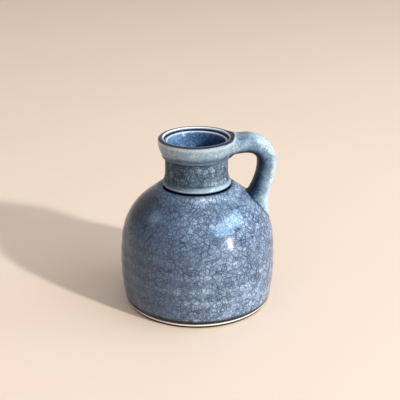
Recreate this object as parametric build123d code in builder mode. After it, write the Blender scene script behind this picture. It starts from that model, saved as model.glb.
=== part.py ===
"""Glazed stoneware flower vase with one side handle.

Millimetres. The origin is the centre of the foot where it stands, +Z is up through the
mouth, and the handle stands on the +X side. The vase is put together the way a potter
puts it together: a hollow body on a foot ring, a neck collar let into the shoulder, a
rim ring round the top of the neck and a handle, each luted on with slip and each with
its own coat of glaze.
"""

import math
import os

from build123d import *

os.makedirs("parts", exist_ok=True)

# Layers
glaze = 0.5            # thickness of every coat of glaze
clay_wall = 4.6        # thickness of the fired clay wall
slip = 0.8             # thickness of the slip in a luted joint

# Body, outside of the glaze
belly_radius = 63.5
belly_height = 34.0
lower_wall_arc = 169.0
upper_wall_arc = 167.0
upper_wall_angle = 8.8
shoulder_arc = 47.9
shoulder_angle = 52.1
crown_radius = 28.5    # where the shoulder levels out below the neck
crown_arc = 7.0

# Foot and floor
foot_radius = 59.9
foot_inner_radius = 49.0
foot_height = 6.0
foot_edge = 0.8
standing_radius = 58.6  # the outer edge is set back above where the vase stands
undercut_root = 1.7     # top of the set-back at the standing ring
undercut_edge = 2.1     # top of the set-back at the outer edge of the foot
glaze_line = 3.8       # the coat stops this far above the table
roll_edge = 0.9
floor_top = 12.0
floor_corner = 14.0

# Neck collar
spigot_radius = 24.8
opening_radius = 25.4
land_radius = 25.9
neck_radius = 25.4
neck_waist_height = 113.0
neck_flare_arc = 25.0
skirt_height = 102.6
skirt_edge = 1.0

# Bore and ledge, inside of the glaze
bore_radius = 22.0
bore_lip = 2.5
flare_height = 128.0
flare_arc = 27.15
flare_angle = 17.8
ledge_edge = 1.4

# Rim ring
rim_bottom = 124.6
rim_radius = 30.8
rim_belly_height = 137.0
rim_arc = 20.5
rim_inner_radius = 26.2
rim_top = 140.0
rim_outer_round = 2.2
rim_inner_round = 1.2

# Handle
handle_level = 133.2   # height of the straight run that leaves the rim
handle_half_depth = 8.0
handle_half_width = 10.0
handle_bend = 16.6
handle_bend_centre = (41.0, 116.4)
handle_return = 45.0


def point_on(centre, radius, angle):
    """The point on a circle at an angle in degrees, counted up from the outward level."""
    turn = math.radians(angle)
    return (centre[0] + radius * math.cos(turn), centre[1] + radius * math.sin(turn))


def draw_arc(centre, radius, start, end):
    """An arc about a centre, drawn from one angle to another."""
    middle = (start + end) / 2
    ThreePointArc(
        point_on(centre, radius, start),
        point_on(centre, radius, middle),
        point_on(centre, radius, end),
    )


def height_angle(centre, radius, height):
    """The angle at which a circle reaches a height, on its outward side."""
    return math.degrees(math.asin((height - centre[1]) / radius))


# Centres of the body's arcs: every layer of the wall is drawn about the same ones
lower_centre = (belly_radius - lower_wall_arc, belly_height)
upper_centre = (belly_radius - upper_wall_arc, belly_height)
shoulder_centre = point_on(upper_centre, upper_wall_arc - shoulder_arc, upper_wall_angle)
shoulder_end = point_on(shoulder_centre, shoulder_arc, shoulder_angle)
slope = math.radians(shoulder_angle)
slope_run = (shoulder_end[0] - crown_radius - crown_arc * math.cos(slope)) / math.sin(slope)
slope_end = (
    shoulder_end[0] - slope_run * math.sin(slope),
    shoulder_end[1] + slope_run * math.cos(slope),
)
crown_centre = point_on(slope_end, -crown_arc, shoulder_angle)
crown_height = crown_centre[1] + crown_arc
ceiling = crown_height - glaze - clay_wall

# Places of the bore's flare and of the ledge inside the lip
flare_centre = (bore_radius + flare_arc, flare_height)
ledge_centre = point_on(flare_centre, flare_arc - ledge_edge, 180 - flare_angle)
ledge_height = ledge_centre[1] + ledge_edge


def draw_wall(inset, low_angle):
    """The body's wall from low on the side up to the level crown below the neck."""
    draw_arc(lower_centre, lower_wall_arc - inset, low_angle, 0)
    draw_arc(upper_centre, upper_wall_arc - inset, 0, upper_wall_angle)
    draw_arc(shoulder_centre, shoulder_arc - inset, upper_wall_angle, shoulder_angle)
    Line(
        point_on(shoulder_centre, shoulder_arc - inset, shoulder_angle),
        point_on(slope_end, -inset, shoulder_angle),
    )
    draw_arc(crown_centre, crown_arc - inset, shoulder_angle, 90)


def turned(draw_outline):
    """A solid turned about the vertical axis from half of its outline."""
    with BuildPart() as solid:
        with BuildSketch(Plane.XZ):
            with BuildLine():
                draw_outline()
            make_face()
        revolve(axis=Axis.Z)
    return solid.part


def body_blank(inset):
    """The whole body, filled, down to the seat of the foot ring."""
    low = height_angle(lower_centre, lower_wall_arc - inset, foot_height)

    def outline():
        draw_wall(inset, low)
        top = crown_height - inset
        Polyline((crown_radius, top), (0, top), (0, foot_height))
        Line((0, foot_height), point_on(lower_centre, lower_wall_arc - inset, low))

    return turned(outline)


def glaze_roll():
    """The thick lower edge of the body's glaze, where it runs over the foot's seat."""
    low = height_angle(lower_centre, lower_wall_arc, foot_height)
    low_edge = height_angle(lower_centre, lower_wall_arc, glaze_line + roll_edge)
    edge = point_on(lower_centre, lower_wall_arc, low_edge)
    roll_centre = (edge[0] - roll_edge, edge[1])

    def outline():
        draw_arc(lower_centre, lower_wall_arc, low_edge, low)
        start = point_on(lower_centre, lower_wall_arc, low)
        corner = (foot_radius, glaze_line)
        Polyline(start, (foot_radius, foot_height), corner, (roll_centre[0], glaze_line))
        draw_arc(roll_centre, roll_edge, -90, 0)

    return turned(outline)


def hollow_blank(coat):
    """The room inside the vase, up to the mouth, with a coat of this thickness inside it."""
    inset = glaze + clay_wall + coat
    floor = floor_top + coat
    corner = floor_corner - coat
    wall = lower_wall_arc - inset
    # The corner's centre keeps its distance from both the floor and the wall
    corner_height = floor + corner
    reach = wall - corner
    corner_angle = height_angle(lower_centre, reach, corner_height)
    corner_centre = point_on(lower_centre, reach, corner_angle)
    bore = bore_radius + glaze - coat
    under = ceiling - coat
    edge = bore_lip - glaze + coat
    flare = flare_arc - glaze + coat
    flare_end = 180 - flare_angle
    ledge_round = ledge_edge - glaze + coat
    ledge = ledge_height - glaze + coat

    def outline():
        Line((0, floor), (corner_centre[0], floor))
        draw_arc(corner_centre, corner, -90, corner_angle)
        draw_wall(inset, corner_angle)
        Line((crown_radius, under), (bore + edge, under))
        draw_arc((bore + edge, under + edge), edge, 270, 180)
        Line((bore, under + edge), (bore, flare_height))
        draw_arc(flare_centre, flare, 180, flare_end)
        draw_arc(ledge_centre, ledge_round, flare_end, 90)
        Line((ledge_centre[0], ledge), (rim_inner_radius + glaze, ledge))
        Line((rim_inner_radius + glaze, ledge), (rim_inner_radius + glaze, rim_top + 1))
        Polyline((rim_inner_radius + glaze, rim_top + 1), (0, rim_top + 1), (0, floor))

    return turned(outline)


def neck_blank(coat):
    """The collar from its skirt up to the rim, filled, outside a coat of this thickness."""
    waist_centre = (neck_radius + neck_flare_arc, neck_waist_height)
    flare = neck_flare_arc + glaze - coat
    low = 180 + math.degrees(math.asin((neck_waist_height - skirt_height) / neck_flare_arc))
    edge_centre = point_on(waist_centre, neck_flare_arc + skirt_edge, low)
    edge = skirt_edge - glaze + coat
    land = land_radius + coat
    under = edge_centre[1] - edge
    start = crown_height if coat else crown_height - glaze + slip

    def outline():
        Polyline((0, start), (land, start), (land, under), (edge_centre[0], under))
        draw_arc(edge_centre, edge, -90, low - 180)
        draw_arc(waist_centre, flare, low, 180)
        side = neck_radius - glaze + coat
        Polyline((side, neck_waist_height), (side, rim_bottom), (0, rim_bottom), (0, start))

    return turned(outline)


def rim_blank(coat):
    """The rim ring, filled to the axis, outside a coat of this thickness."""
    inset = glaze - coat
    arc_centre = (rim_radius - rim_arc, rim_belly_height)
    arc = rim_arc - inset
    bottom = rim_bottom + inset
    top = rim_top - inset
    low = height_angle(arc_centre, arc, bottom)
    round_centre = (rim_radius - rim_outer_round, rim_top - rim_outer_round)
    outer_round = rim_outer_round - inset

    def outline():
        Line((0, bottom), point_on(arc_centre, arc, low))
        draw_arc(arc_centre, arc, low, 0)
        Line((rim_radius - inset, rim_belly_height), (rim_radius - inset, round_centre[1]))
        draw_arc(round_centre, outer_round, 0, 90)
        Polyline((round_centre[0], top), (0, top), (0, bottom))

    return turned(outline)


def mouth_blank(coat):
    """The room inside the lip, above the ledge, left by a coat of this thickness."""
    inner = rim_inner_radius + glaze - coat
    edge = rim_inner_round - glaze + coat
    low = ledge_height - glaze + coat
    top = rim_top - glaze + coat

    def outline():
        Polyline((0, low), (inner, low), (inner, top - edge))
        draw_arc((inner + edge, top - edge), edge, 180, 90)
        Polyline((inner + edge, top), (inner + edge, top + 1), (0, top + 1), (0, low))

    return turned(outline)


def handle_stations():
    """Ovals along the handle: centre, how far its path has turned down, depth, width."""
    depth = handle_half_depth
    width = handle_half_width
    stations = [
        ((27.6, handle_level - 0.9), 0, depth - 0.8, width + 3.2),
        ((31.0, handle_level - 0.4), 0, depth - 0.3, width + 2.2),
        ((36.0, handle_level), 0, depth, width + 0.7),
        ((41.0, handle_level), 0, depth, width),
    ]
    for turned_down in (15, 30, 45, 60, 75, 90):
        centre = point_on(handle_bend_centre, handle_bend, 90 - turned_down)
        slimmer = 0.3 * math.sin(math.radians(turned_down))
        stations.append((centre, turned_down, depth - slimmer, width))
    bend_x, bend_z = handle_bend_centre
    return_centre = (bend_x + handle_bend - handle_return, bend_z)
    for past_level in (7, 14, 21):
        centre = point_on(return_centre, handle_return, -past_level)
        stations.append((centre, 90 + past_level, depth - 0.3, width + 0.01 * past_level))
    # The lower root spreads down over the shoulder and tails out on the side
    stations.append(((52.7, 94.6), 120, 8.0, width + 0.5))
    stations.append(((51.3, 88.2), 128.5, 9.8, width + 1.2))
    stations.append(((50.9, 80.1), 137.5, 12.9, width + 2.2))
    stations.append(((47.2, 72.4), 137.5, 13.7, width + 2.4))
    return stations


def handle_blank(inset):
    """The handle as one lofted bar that runs on inside the rim and the body."""
    with BuildPart() as bar:
        for (out, height), turned_down, half_depth, half_width in handle_stations():
            turn = math.radians(turned_down)
            along = (math.cos(turn), 0, -math.sin(turn))
            across = Plane(origin=(out, 0, height), x_dir=(0, 1, 0), z_dir=along)
            with BuildSketch(across):
                Ellipse(half_width - inset, half_depth - inset)
        loft()
    return bar.part


clay_bar = handle_blank(glaze)
clay_body = body_blank(glaze)
clay_hollow = hollow_blank(0)
slip_over_body = body_blank(glaze - slip)
clay_rim = rim_blank(0)
slip_over_rim = rim_blank(slip)

# Hollow body: wall, floor and shoulder, with a round opening for the neck
with BuildPart() as body_shell:
    add(clay_body)
    add(clay_hollow, mode=Mode.SUBTRACT)
    with BuildSketch(Plane.XY.offset(ceiling - 5)):
        Circle(opening_radius)
    extrude(amount=20, mode=Mode.SUBTRACT)
body_shell.part.label = "body_shell"
export_step(body_shell.part, "parts/body_shell.step")

def foot_outline():
    Polyline(
        (foot_inner_radius, 0),
        (standing_radius, 0),
        (standing_radius, undercut_root),
        (foot_radius, undercut_edge),
        (foot_radius, foot_height),
        (foot_inner_radius, foot_height),
        close=True,
    )


# Foot ring: bare clay, set back on the outside and eased on the inside where it stands
with BuildPart() as foot_ring:
    add(turned(foot_outline))
    standing_edges = foot_ring.faces().sort_by(Axis.Z)[0].edges().sort_by(SortBy.RADIUS)
    fillet(standing_edges[0], radius=foot_edge)
foot_ring.part.label = "foot_ring"
export_step(foot_ring.part, "parts/foot_ring.step")

# Neck collar: a spigot in the body's opening, a land, an overhanging skirt and the tube
clay_neck = neck_blank(0)
with BuildPart() as neck_collar:
    add(clay_neck)
    with BuildSketch(Plane.XY.offset(ceiling)):
        Circle(spigot_radius)
    extrude(amount=ledge_height - ceiling)
    add(clay_hollow, mode=Mode.SUBTRACT)
neck_collar.part.label = "neck_collar"
export_step(neck_collar.part, "parts/neck_collar.step")

# Slip that lutes the neck into the opening and onto the land around it
with BuildPart() as neck_joint_slip:
    seat = crown_height - glaze
    with BuildSketch(Plane.XY.offset(ceiling)):
        Circle(opening_radius)
        Circle(spigot_radius, mode=Mode.SUBTRACT)
    extrude(amount=seat - ceiling)
    with BuildSketch(Plane.XY.offset(seat)):
        Circle(land_radius)
        Circle(spigot_radius, mode=Mode.SUBTRACT)
    extrude(amount=slip)
neck_joint_slip.part.label = "neck_joint_slip"
export_step(neck_joint_slip.part, "parts/neck_joint_slip.step")

# Rim ring: slid over the top of the neck tube, with the lip standing above it
with BuildPart() as rim_ring:
    add(clay_rim)
    add(mouth_blank(0), mode=Mode.SUBTRACT)
    with BuildSketch(Plane.XY.offset(rim_bottom)):
        Circle(spigot_radius)
    extrude(amount=ledge_height - rim_bottom, mode=Mode.SUBTRACT)
rim_ring.part.label = "rim_ring"
export_step(rim_ring.part, "parts/rim_ring.step")

# Handle: the bar between the two layers of slip
with BuildPart() as handle:
    add(clay_bar)
    add(slip_over_body, mode=Mode.SUBTRACT)
    add(slip_over_rim, mode=Mode.SUBTRACT)
handle.part.label = "handle"
export_step(handle.part, "parts/handle.step")

# Slip under the handle's upper end, on the rim ring
with BuildPart() as handle_top_weld:
    add(clay_bar)
    add(slip_over_rim, mode=Mode.INTERSECT)
    add(clay_rim, mode=Mode.SUBTRACT)
handle_top_weld.part.label = "handle_top_weld"
export_step(handle_top_weld.part, "parts/handle_top_weld.step")

# Slip under the handle's lower end, on the shoulder
with BuildPart() as handle_base_weld:
    add(clay_bar)
    add(slip_over_body, mode=Mode.INTERSECT)
    add(clay_body, mode=Mode.SUBTRACT)
handle_base_weld.part.label = "handle_base_weld"
export_step(handle_base_weld.part, "parts/handle_base_weld.step")

# Glaze on the body, with its thick lower edge, open where the handle's slip meets the clay
with BuildPart() as glaze_body:
    add(body_blank(0))
    add(clay_body, mode=Mode.SUBTRACT)
    add(glaze_roll())
    with BuildSketch(Plane.XY.offset(crown_height - 1)):
        Circle(land_radius)
    extrude(amount=2, mode=Mode.SUBTRACT)
    add(clay_bar, mode=Mode.SUBTRACT)
glaze_body.part.label = "glaze_body"
export_step(glaze_body.part, "parts/glaze_body.step")

# Glaze on the neck, from the groove under the skirt up to the rim ring
with BuildPart() as glaze_neck:
    add(neck_blank(glaze))
    add(clay_neck, mode=Mode.SUBTRACT)
    with BuildSketch(Plane.XY.offset(ceiling)):
        Circle(land_radius)
    extrude(amount=crown_height - glaze + slip - ceiling, mode=Mode.SUBTRACT)
glaze_neck.part.label = "glaze_neck"
export_step(glaze_neck.part, "parts/glaze_neck.step")

# Glaze inside: floor, wall, bore and ledge
with BuildPart() as glaze_liner:
    add(clay_hollow)
    add(hollow_blank(glaze), mode=Mode.SUBTRACT)
glaze_liner.part.label = "glaze_liner"
export_step(glaze_liner.part, "parts/glaze_liner.step")

# Glaze on the rim ring, over the lip and down inside it to the ledge
with BuildPart() as glaze_rim:
    add(rim_blank(glaze))
    add(rim_ring.part, mode=Mode.SUBTRACT)
    add(mouth_blank(glaze), mode=Mode.SUBTRACT)
    with BuildSketch(Plane.XY.offset(rim_bottom)):
        Circle(spigot_radius)
    extrude(amount=ledge_height - rim_bottom, mode=Mode.SUBTRACT)
    add(glaze_liner.part, mode=Mode.SUBTRACT)
    add(clay_bar, mode=Mode.SUBTRACT)
glaze_rim.part.label = "glaze_rim"
export_step(glaze_rim.part, "parts/glaze_rim.step")

# Glaze on the handle
with BuildPart() as glaze_handle:
    add(handle_blank(0))
    add(body_blank(0), mode=Mode.SUBTRACT)
    add(rim_blank(glaze), mode=Mode.SUBTRACT)
    add(clay_bar, mode=Mode.SUBTRACT)
glaze_handle.part.label = "glaze_handle"
export_step(glaze_handle.part, "parts/glaze_handle.step")
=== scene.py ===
import math

import bmesh
import bpy
import numpy as np
from mathutils import Matrix, Vector


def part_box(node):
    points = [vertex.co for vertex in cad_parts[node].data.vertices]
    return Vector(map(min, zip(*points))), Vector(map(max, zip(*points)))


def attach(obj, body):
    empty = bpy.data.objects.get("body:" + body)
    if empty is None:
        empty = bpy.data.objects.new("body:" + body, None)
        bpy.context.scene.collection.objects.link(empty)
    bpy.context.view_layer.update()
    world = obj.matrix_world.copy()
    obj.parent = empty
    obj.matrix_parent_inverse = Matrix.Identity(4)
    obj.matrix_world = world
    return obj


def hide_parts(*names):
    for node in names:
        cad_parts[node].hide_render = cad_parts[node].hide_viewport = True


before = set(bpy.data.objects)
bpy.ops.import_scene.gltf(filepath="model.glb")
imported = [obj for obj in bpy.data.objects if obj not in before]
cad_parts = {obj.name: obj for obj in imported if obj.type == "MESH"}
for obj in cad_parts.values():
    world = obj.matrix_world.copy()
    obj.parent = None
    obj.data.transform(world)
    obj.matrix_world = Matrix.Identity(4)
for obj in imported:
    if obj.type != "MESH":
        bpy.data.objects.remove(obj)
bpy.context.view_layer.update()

MM = 0.001

# ---- sizes, in millimetres

GLAZE = 0.5


def node_box(name):
    """Lowest and highest corner of a CAD node, in millimetres."""
    low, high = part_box(name)
    return np.array(low) / MM, np.array(high) / MM


BODY_LOW, BODY_HIGH = node_box("glaze_body")
RIM_LOW, RIM_HIGH = node_box("glaze_rim")
LINER_LOW, LINER_HIGH = node_box("glaze_liner")
FOOT_HIGH = node_box("foot_ring")[1]

BELLY_RADIUS = BODY_HIGH[1]
GLAZE_LINE = BODY_LOW[2]
CROWN_HEIGHT = BODY_HIGH[2]
BELLY_HEIGHT = 34.0
LOWER_ARC = 169.0
UPPER_ARC = 167.0
UPPER_ANGLE = 8.8
SHOULDER_ARC = 47.9
SHOULDER_ANGLE = 52.1
CROWN_RADIUS = 28.5
CROWN_ARC = 7.0
FOOT_RADIUS = FOOT_HIGH[1]
FOOT_TOP = FOOT_HIGH[2]
FOOT_INNER_RADIUS = 49.0
STANDING_RADIUS = 58.6
UNDERCUT_ROOT = 1.7
UNDERCUT_EDGE = 2.1
FOOT_EDGE = 0.8
# Painted shade on the foot stops inside this radius.
PAINTED_SHADE_RADIUS = 58.0
LAND_RADIUS = 25.9
NECK_RADIUS = 25.4
NECK_WAIST = 113.0
NECK_ARC = 25.0
SKIRT_HEIGHT = 102.6
SKIRT_EDGE = 1.0
RIM_RADIUS = RIM_HIGH[1]
RIM_BOTTOM = RIM_LOW[2]
RIM_TOP = RIM_HIGH[2]
RIM_BELLY = RIM_TOP - 3.0
RIM_ARC = 20.5
RIM_INNER_RADIUS = 26.2
LEDGE_HEIGHT = LINER_HIGH[2]
LIP_RADIUS = 28.9
BORE_RADIUS = 22.0
FLARE_HEIGHT = 128.0
FLARE_ARC = 27.15
FLARE_ANGLE = 17.8
LEDGE_ROUND = 1.4
WALL_DEPTH = 5.6
FLOOR_CORNER = 13.5


# ---- outlines

def arc(centre, radius, start, end, step=0.7):
    """Points on an arc, angles in degrees up from the outward level."""
    count = max(3, int(abs(radius * math.radians(end - start)) / step) + 1)
    angles = np.radians(np.linspace(start, end, count))
    return np.stack([centre[0] + radius * np.cos(angles), centre[1] + radius * np.sin(angles)], 1)


def line(start, end, step=0.7):
    """Points along a straight run."""
    start, end = np.array(start, float), np.array(end, float)
    count = max(2, int(np.linalg.norm(end - start) / step) + 1)
    return start + (end - start) * np.linspace(0, 1, count)[:, None]


def join(*runs):
    """One outline from runs that follow each other, without doubled points."""
    points = np.concatenate([np.atleast_2d(run) for run in runs])
    gaps = np.linalg.norm(np.diff(points, axis=0), axis=1)
    return points[np.concatenate([[True], gaps > 0.02])]


def polar(centre, radius, angle):
    """The place at a radius and an angle, in degrees, from a centre."""
    turn = math.radians(angle)
    return (centre[0] + radius * math.cos(turn), centre[1] + radius * math.sin(turn))


LOWER_CENTRE = (BELLY_RADIUS - LOWER_ARC, BELLY_HEIGHT)
UPPER_CENTRE = (BELLY_RADIUS - UPPER_ARC, BELLY_HEIGHT)
SHOULDER_CENTRE = polar(UPPER_CENTRE, UPPER_ARC - SHOULDER_ARC, UPPER_ANGLE)
SHOULDER_END = polar(SHOULDER_CENTRE, SHOULDER_ARC, SHOULDER_ANGLE)
SLOPE = math.radians(SHOULDER_ANGLE)
SLOPE_RUN = (SHOULDER_END[0] - CROWN_RADIUS - CROWN_ARC * math.cos(SLOPE)) / math.sin(SLOPE)
SLOPE_END = (
    SHOULDER_END[0] - SLOPE_RUN * math.sin(SLOPE),
    SHOULDER_END[1] + SLOPE_RUN * math.cos(SLOPE),
)
CROWN_CENTRE = polar(SLOPE_END, -CROWN_ARC, SHOULDER_ANGLE)


def wall(inset, low_height, step=0.7):
    """The body's wall from a low height up to its level crown, at an inset from the glaze."""
    low = math.degrees(math.asin((low_height - BELLY_HEIGHT) / (LOWER_ARC - inset)))
    return join(
        arc(LOWER_CENTRE, LOWER_ARC - inset, low, 0, step),
        arc(UPPER_CENTRE, UPPER_ARC - inset, 0, UPPER_ANGLE, step),
        arc(SHOULDER_CENTRE, SHOULDER_ARC - inset, UPPER_ANGLE, SHOULDER_ANGLE, step),
        arc(CROWN_CENTRE, CROWN_ARC - inset, SHOULDER_ANGLE, 90),
    )


def fill_long_gaps(points, step=0.8):
    """Adds points where a run between two arcs was left as one long step."""
    runs = []
    for a, b in zip(points[:-1], points[1:]):
        runs.append(line(a, b, step)[:-1] if np.linalg.norm(b - a) > 1.5 * step else a[None])
    return np.concatenate(runs + [points[-1][None]])


def body_outline():
    """Outside of the body's coat, from its thick lower edge up into the groove."""
    roll = 0.9
    low = GLAZE_LINE + roll
    edge = LOWER_CENTRE[0] + math.sqrt(LOWER_ARC**2 - (low - BELLY_HEIGHT) ** 2)
    outer = join(
        line((FOOT_RADIUS, GLAZE_LINE), (edge - roll, GLAZE_LINE), 0.3),
        arc((edge - roll, low), roll, -90, 0, 0.2),
        fill_long_gaps(wall(0, low, 0.45), 0.6),
        line((CROWN_RADIUS, CROWN_HEIGHT), (LAND_RADIUS + GLAZE, CROWN_HEIGHT), 0.3),
    )
    inner = join(
        fill_long_gaps(wall(GLAZE, FOOT_TOP), 3.0),
        (LAND_RADIUS + GLAZE, CROWN_HEIGHT - GLAZE),
    )[::-1]
    inner = join(inner, (FOOT_RADIUS, FOOT_TOP))
    return outer, inner


def neck_outline():
    """Outside of the neck's coat, from the groove round the skirt's edge up to the rim."""
    centre = (NECK_RADIUS + NECK_ARC, NECK_WAIST)
    low = 180 + math.degrees(math.asin((NECK_WAIST - SKIRT_HEIGHT) / NECK_ARC))
    edge = polar(centre, NECK_ARC + SKIRT_EDGE, low)
    groove = LAND_RADIUS + GLAZE
    outer = join(
        line((groove, CROWN_HEIGHT), (groove, edge[1] - SKIRT_EDGE), 0.3),
        arc(edge, SKIRT_EDGE, -90, low - 180, 0.15),
        arc(centre, NECK_ARC, low, 180),
        line((NECK_RADIUS, NECK_WAIST), (NECK_RADIUS, RIM_BOTTOM + 0.6)),
    )
    inner = join(
        line((NECK_RADIUS - GLAZE, RIM_BOTTOM + 0.6), (NECK_RADIUS - GLAZE, NECK_WAIST), 3.0),
        arc(centre, NECK_ARC + GLAZE, 180, low, 3.0),
        (LAND_RADIUS, edge[1] - SKIRT_EDGE + GLAZE),
        (LAND_RADIUS, CROWN_HEIGHT),
    )
    return outer, inner


def rim_outline():
    """Outside of the rim's coat: lower bead, belly, lip and the inside down to the ledge."""
    arc_centre = (RIM_RADIUS - RIM_ARC, RIM_BELLY)
    bead = 0.75
    bead_angle = math.degrees(math.asin((RIM_BOTTOM + 1.6 - RIM_BELLY) / RIM_ARC))
    bead_top = polar(arc_centre, RIM_ARC, bead_angle)
    bead_centre = (bead_top[0] - bead * 0.72, RIM_BOTTOM + bead)
    round_out = 2.2
    round_in = 1.2
    outer = join(
        line((NECK_RADIUS - 0.1, RIM_BOTTOM), (bead_centre[0], RIM_BOTTOM), 0.3),
        arc(bead_centre, bead, -90, 35, 0.12),
        arc(arc_centre, RIM_ARC, bead_angle + 0.8, 0, 0.5),
        arc((RIM_RADIUS - round_out, RIM_TOP - round_out), round_out, 0, 90, 0.25),
        arc((RIM_INNER_RADIUS + round_in, RIM_TOP - round_in), round_in, 90, 180, 0.2),
        line((RIM_INNER_RADIUS, RIM_TOP - round_in), (RIM_INNER_RADIUS, LEDGE_HEIGHT - 0.1), 0.3),
    )
    inner_top = RIM_TOP - GLAZE
    inner = join(
        (RIM_INNER_RADIUS + GLAZE, LEDGE_HEIGHT - 0.1),
        (RIM_INNER_RADIUS + GLAZE, inner_top - 0.7),
        (RIM_INNER_RADIUS + GLAZE + 0.7, inner_top),
        (RIM_RADIUS - round_out, inner_top),
        (RIM_RADIUS - GLAZE, RIM_TOP - round_out),
        arc(arc_centre, RIM_ARC - GLAZE, 0, bead_angle, 2.0),
        (bead_centre[0], RIM_BOTTOM + GLAZE),
        (NECK_RADIUS - 0.1, RIM_BOTTOM + GLAZE),
    )
    return outer, inner


def lining_outline():
    """Inside of the vase's coat from the middle of the floor up over the ledge, and its back."""
    corner = FLOOR_CORNER
    floor = LINER_LOW[2] + GLAZE
    reach = LOWER_ARC - WALL_DEPTH - corner
    angle = math.degrees(math.asin((floor + corner - BELLY_HEIGHT) / reach))
    corner_centre = polar(LOWER_CENTRE, reach, angle)
    under = CROWN_HEIGHT - WALL_DEPTH
    lip = 2.5
    flare_end = 180 - FLARE_ANGLE
    flare_centre = (BORE_RADIUS + FLARE_ARC, FLARE_HEIGHT)
    ledge_centre = polar(flare_centre, FLARE_ARC - LEDGE_ROUND, flare_end)
    wall_low = floor + corner
    face = join(
        line((0.0, floor), (corner_centre[0], floor), 4.0),
        arc(corner_centre, corner, -90, angle, 1.5),
        fill_long_gaps(wall(WALL_DEPTH, wall_low), 2.0),
        (BORE_RADIUS + lip, under),
        arc((BORE_RADIUS + lip, under + lip), lip, 270, 180, 0.5),
        line((BORE_RADIUS, under + lip), (BORE_RADIUS, FLARE_HEIGHT), 1.0),
        arc(flare_centre, FLARE_ARC, 180, flare_end, 0.8),
        arc(ledge_centre, LEDGE_ROUND, flare_end, 90, 0.15),
        line((ledge_centre[0], LEDGE_HEIGHT), (RIM_INNER_RADIUS + 0.1, LEDGE_HEIGHT), 0.3),
    )
    back = join(
        (RIM_INNER_RADIUS + 0.1, LEDGE_HEIGHT - GLAZE),
        (ledge_centre[0], LEDGE_HEIGHT - GLAZE),
        arc(ledge_centre, LEDGE_ROUND - GLAZE, 90, flare_end, 0.4),
        arc(flare_centre, FLARE_ARC - GLAZE, flare_end, 180, 2.0),
        (BORE_RADIUS + GLAZE, under + lip),
        (BORE_RADIUS + lip, under + GLAZE),
        fill_long_gaps(wall(WALL_DEPTH - GLAZE, wall_low), 6.0)[::-1],
        arc(corner_centre, corner + GLAZE, angle, -90, 4.0),
        line((corner_centre[0], floor - GLAZE), (0.0, floor - GLAZE), 8.0),
    )
    return face, back


# ---- hand-made unevenness

rng = np.random.default_rng(11)


def wave_set(count, turns, rise, size):
    """Random slow waves round and up the vase: (turns, rise per mm, phase, height)."""
    return [
        (
            rng.integers(1, turns + 1),
            rng.uniform(-rise, rise),
            rng.uniform(0, 2 * math.pi),
            rng.uniform(0.4, 1.0) * size,
        )
        for _ in range(count)
    ]


BODY_WAVES = wave_set(12, 5, 0.12, 0.07)
NECK_WAVES = wave_set(8, 5, 0.25, 0.05)
RING_SPACING = 10.8
FIRST_RING = 8.6
RING_HEIGHT = 0.11
RIDGE_HEIGHT = 0.36
RIDGE_WIDTH = 1.0
RIDGE_SIDE = -1.21
SWELL_HEIGHT = 62
SWELL_DEPTH = 1.0
COAT_FULLNESS = 0.12
DEEPEST_HOLLOW = -0.33


def waves(chosen, turn, height):
    total = np.zeros(np.broadcast(turn, height).shape)
    for turns, rise, phase, size in chosen:
        total += size * np.cos(turns * turn + rise * height + phase)
    return total


def smooth_step(low, high, value):
    t = np.clip((value - low) / (high - low), 0, 1)
    return t * t * (3 - 2 * t)


def wrapped(turn):
    """An angle brought to within half a turn of nought."""
    return np.angle(np.exp(1j * turn))


def bell(value, centre, width):
    """One at the centre, falling away evenly on both sides."""
    return np.exp(-(((value - centre) / width) ** 2))


def facing(turn, toward, power):
    """One on the side that looks toward an angle, nought on the side across from it."""
    return (0.5 + 0.5 * np.cos(turn - toward)) ** power


def ring_phase(turn, height):
    """How many throwing rings lie below a place: whole numbers on their crests."""
    drift = 0.10 * np.sin(turn + 1.1) + 0.06 * np.sin(2 * turn + 0.4) + turn / (2 * math.pi)
    return (height - FIRST_RING) / RING_SPACING + drift


def ring_fade(height):
    """Throwing rings show on the straight part of the side only."""
    return smooth_step(10, 24, height) * (1 - smooth_step(66, 80, height))


def body_relief(turn, height):
    """Throwing rings with a fine ridge on each, and the fuller side below the handle."""
    phase = ring_phase(turn, height)
    strength = RING_HEIGHT * (0.75 + 0.25 * np.sin(2 * turn + height / 17))
    rings = strength * np.cos(2 * math.pi * phase)
    off_crest = (phase - np.round(phase)) * RING_SPACING
    from_side = turn - RIDGE_SIDE
    broken = (0.5 + 0.5 * np.cos(4 * from_side) * np.cos(from_side)) ** 4
    ridges = RIDGE_HEIGHT * broken * bell(off_crest, 0, RIDGE_WIDTH)
    swell = SWELL_DEPTH * bell(wrapped(turn), 0, 0.55) * bell(height, SWELL_HEIGHT, 13)
    total = COAT_FULLNESS + (rings + ridges) * ring_fade(height)
    total = total + waves(BODY_WAVES, turn, height) + swell
    low_fade = smooth_step(GLAZE_LINE + 0.5, 11, height)
    top_fade = 1 - smooth_step(90, 98, height)
    return np.maximum(total, DEEPEST_HOLLOW) * low_fade * top_fade


def neck_relief(turn, height):
    return waves(NECK_WAVES, turn, height) * smooth_step(101, 105, height)


def rim_relief(turn, height):
    return 0.8 * waves(NECK_WAVES, turn, height) + 0.05


def vase_relief(turn, height):
    """The relief of whichever coat is at this height."""
    low = body_relief(turn, height)
    middle = neck_relief(turn, height)
    high = rim_relief(turn, height)
    return np.where(height < CROWN_HEIGHT, low, np.where(height < RIM_BOTTOM, middle, high))


# ---- meshes

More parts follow.
